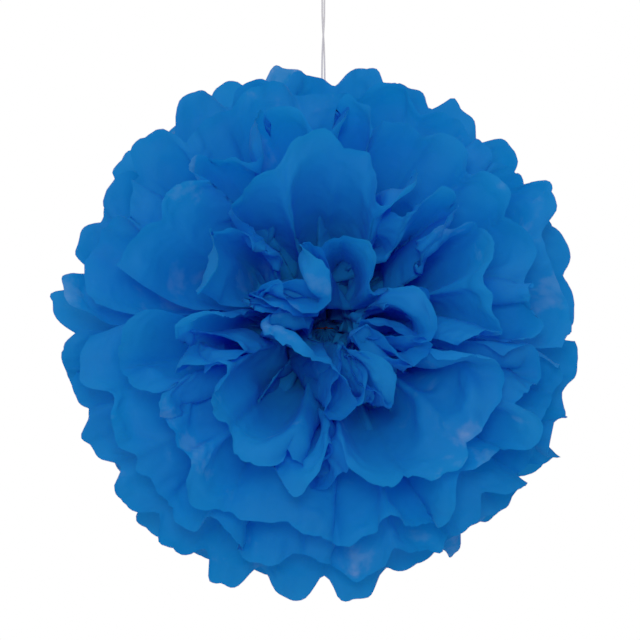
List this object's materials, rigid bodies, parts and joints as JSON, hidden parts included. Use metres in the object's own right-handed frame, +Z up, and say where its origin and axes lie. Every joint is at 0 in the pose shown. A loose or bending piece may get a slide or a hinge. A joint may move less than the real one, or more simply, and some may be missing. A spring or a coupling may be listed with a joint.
{
  "type": "tissue paper pom pom",
  "caption": "Hanging ball of pleated tissue paper, opened from a tied stack of sheets into layers of round petals, with a doubled thread that ends in a loop.",
  "frame": {"origin": "the hanging point: the inside of the top of the thread's loop, where a hook bears", "axes": "+Z up along the hanging thread; the front pole of the flower points to -Y, turned 5 degrees towards +X; the tied stack's two fans open towards +Z and -Z"},
  "size_m": [0.4037, 0.4091, 0.4696],
  "materials": {
    "tissue": "thin crinkled tissue with a faint glaze",
    "tie": "thin enamelled wire",
    "thread": "smooth pale twisted thread"
  },
  "bodies": {
    "root": {"sheet_01": "tissue", "sheet_02": "tissue", "sheet_03": "tissue", "sheet_04": "tissue", "sheet_05": "tissue", "sheet_06": "tissue", "sheet_07": "tissue", "sheet_08": "tissue", "sheet_09": "tissue", "sheet_10": "tissue", "wire_tie": "tie", "hanging_thread": "thread"}
  },
  "joints": []
}
